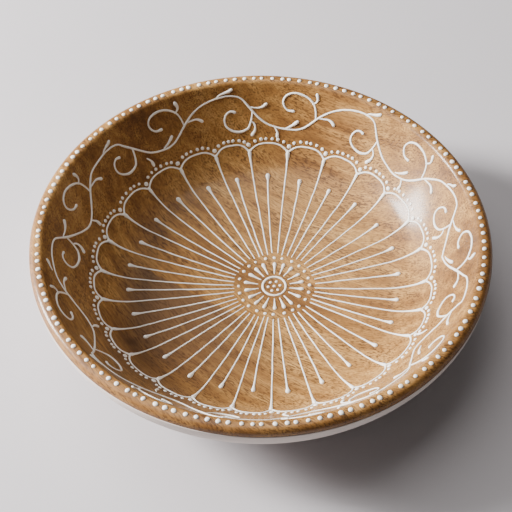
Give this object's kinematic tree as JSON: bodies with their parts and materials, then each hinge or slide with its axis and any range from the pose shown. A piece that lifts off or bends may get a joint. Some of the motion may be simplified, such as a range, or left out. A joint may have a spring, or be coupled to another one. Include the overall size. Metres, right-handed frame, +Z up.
{
  "type": "serving bowl",
  "caption": "Shallow turned wooden serving bowl with a rounded lip and low foot, painted pale outside, with raised painted petals, scrolling vine and dots inside.",
  "frame": {"origin": "middle of the foot, on the plane that the bowl stands on", "axes": "+Z up along the bowl's turning axis; +X towards the side that the painted flower's centre is offset to"},
  "size_m": [0.3014, 0.3014, 0.069],
  "materials": {
    "wood": "satin lacquered, with short dark pores",
    "coat": "matte off-white paint on wood",
    "paint": "thick off-white paint laid on in raised lines and dots"
  },
  "bodies": {
    "root": {"bowl_body": "wood", "outer_coat": "coat", "lip_dots_row": "paint", "vine_stem": "paint", "vine_lower_scrolls": "paint", "vine_upper_scrolls": "paint", "vine_leaves": "paint", "petal_edge_dots": "paint", "petal_arches": "paint", "petal_lines": "paint", "petal_pins": "paint", "hub_dots": "paint", "hub_drops": "paint", "hub_ring": "paint", "hub_seeds": "paint"}
  },
  "joints": []
}
